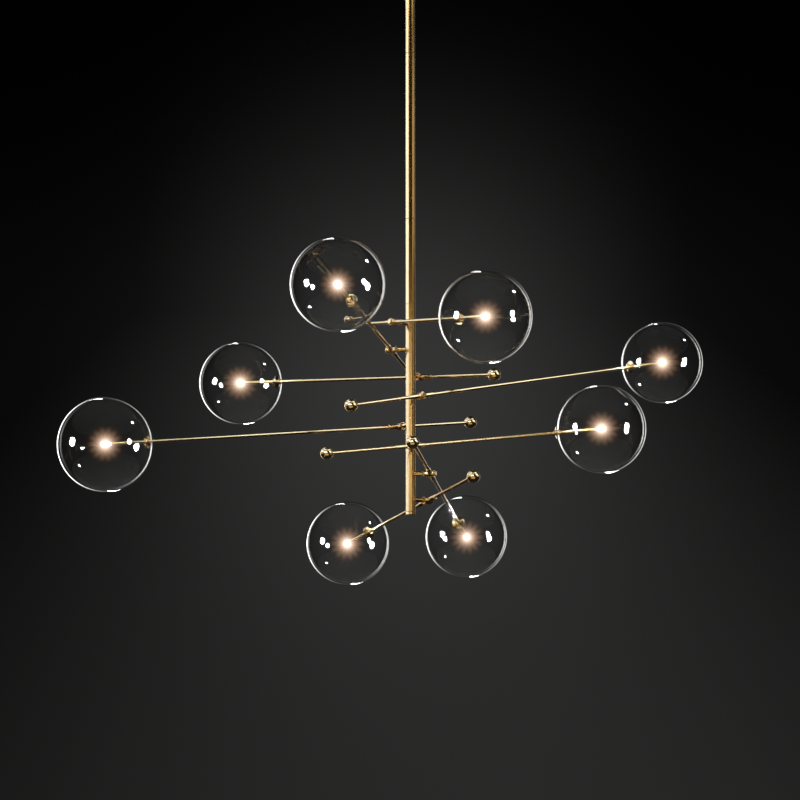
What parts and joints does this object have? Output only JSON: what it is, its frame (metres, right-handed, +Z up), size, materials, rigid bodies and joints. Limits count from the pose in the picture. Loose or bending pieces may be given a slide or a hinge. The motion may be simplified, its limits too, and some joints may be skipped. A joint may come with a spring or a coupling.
{
  "type": "glass globe chandelier",
  "caption": "Ceiling chandelier: a slim brass stem carries tilting arms with ball weights, each holding a clear glass globe with a small warm lamp at its centre.",
  "frame": {"origin": "point on the ceiling plane, on the axis of the stem", "axes": "+Z up to the ceiling, +X to the right as the picture sees it, +Y away from the viewer"},
  "size_m": [1.0922, 0.7431, 1.0787],
  "materials": {
    "brass": "satin",
    "glass": "clear polished",
    "lamp": "clear capsule",
    "steel": "zinc plated",
    "driver_case": "matt",
    "wire": "matt"
  },
  "bodies": {
    "stem": {"ceiling_bar": "steel", "canopy": "brass", "canopy_screws": "brass", "lamp_driver": "driver_case", "wiring_loom": "wire", "short_stem_rods": "brass", "long_stem_rod": "brass", "stem_nipples": "steel", "stem_body": "brass", "stem_end_cap": "brass", "pivot_stubs": "brass", "pivot_caps": "brass"},
    "arm_1": {"hub_1": "brass", "arm_tube_1": "brass", "counterweight_1": "brass", "globe_collar_1": "brass", "glass_globe_1": "glass", "lamp_1": "lamp"},
    "arm_2": {"hub_2": "brass", "arm_tube_2": "brass", "counterweight_2": "brass", "globe_collar_2": "brass", "glass_globe_2": "glass", "lamp_2": "lamp"},
    "arm_3": {"hub_3": "brass", "arm_tube_3": "brass", "counterweight_3": "brass", "globe_collar_3": "brass", "glass_globe_3": "glass", "lamp_3": "lamp"},
    "arm_4": {"hub_4": "brass", "arm_tube_4": "brass", "counterweight_4": "brass", "globe_collar_4": "brass", "glass_globe_4": "glass", "lamp_4": "lamp"},
    "arm_5": {"hub_5": "brass", "arm_tube_5": "brass", "counterweight_5": "brass", "globe_collar_5": "brass", "glass_globe_5": "glass", "lamp_5": "lamp"},
    "arm_6": {"hub_6": "brass", "arm_tube_6": "brass", "counterweight_6": "brass", "globe_collar_6": "brass", "glass_globe_6": "glass", "lamp_6": "lamp"},
    "arm_7": {"hub_7": "brass", "arm_tube_7": "brass", "counterweight_7": "brass", "globe_collar_7": "brass", "glass_globe_7": "glass", "lamp_7": "lamp"},
    "arm_8": {"hub_8": "brass", "arm_tube_8": "brass", "counterweight_8": "brass", "globe_collar_8": "brass", "glass_globe_8": "glass", "lamp_8": "lamp"}
  },
  "joints": [
    {"name": "arm_1_tilt", "type": "hinge", "parent": "stem", "child": "arm_1", "pos_m": [-0.02851, -0.01852, -0.6535], "axis": [-0.8387, -0.5446, 0], "range_deg": [-5.5, 22.5]},
    {"name": "arm_2_tilt", "type": "hinge", "parent": "stem", "child": "arm_2", "pos_m": [-0.03284, 0.0088, -0.6965], "axis": [-0.9659, 0.2588, 0], "range_deg": [-21.5, 6.5]},
    {"name": "arm_3_tilt", "type": "hinge", "parent": "stem", "child": "arm_3", "pos_m": [0.0149, 0.03056, -0.7395], "axis": [0.4384, 0.8988, 0], "range_deg": [-17, 9]},
    {"name": "arm_4_tilt", "type": "hinge", "parent": "stem", "child": "arm_4", "pos_m": [0.01802, -0.02883, -0.7825], "axis": [0.5299, -0.848, 0], "range_deg": [-26, 2]},
    {"name": "arm_5_tilt", "type": "hinge", "parent": "stem", "child": "arm_5", "pos_m": [-0.01648, 0.02974, -0.8255], "axis": [-0.4848, 0.8746, 0], "range_deg": [-2.5, 21.5]},
    {"name": "arm_6_tilt", "type": "hinge", "parent": "stem", "child": "arm_6", "pos_m": [-0.00059, -0.03399, -0.8685], "axis": [-0.0175, -0.9998, 0], "range_deg": [-5, 9]},
    {"name": "arm_7_tilt", "type": "hinge", "parent": "stem", "child": "arm_7", "pos_m": [0.03313, -0.00765, -0.9115], "axis": [0.9744, -0.225, 0], "range_deg": [-0.5, 27.5]},
    {"name": "arm_8_tilt", "type": "hinge", "parent": "stem", "child": "arm_8", "pos_m": [0.02883, 0.01802, -0.9545], "axis": [0.848, 0.5299, 0], "range_deg": [-3.5, 24.5]}
  ]
}
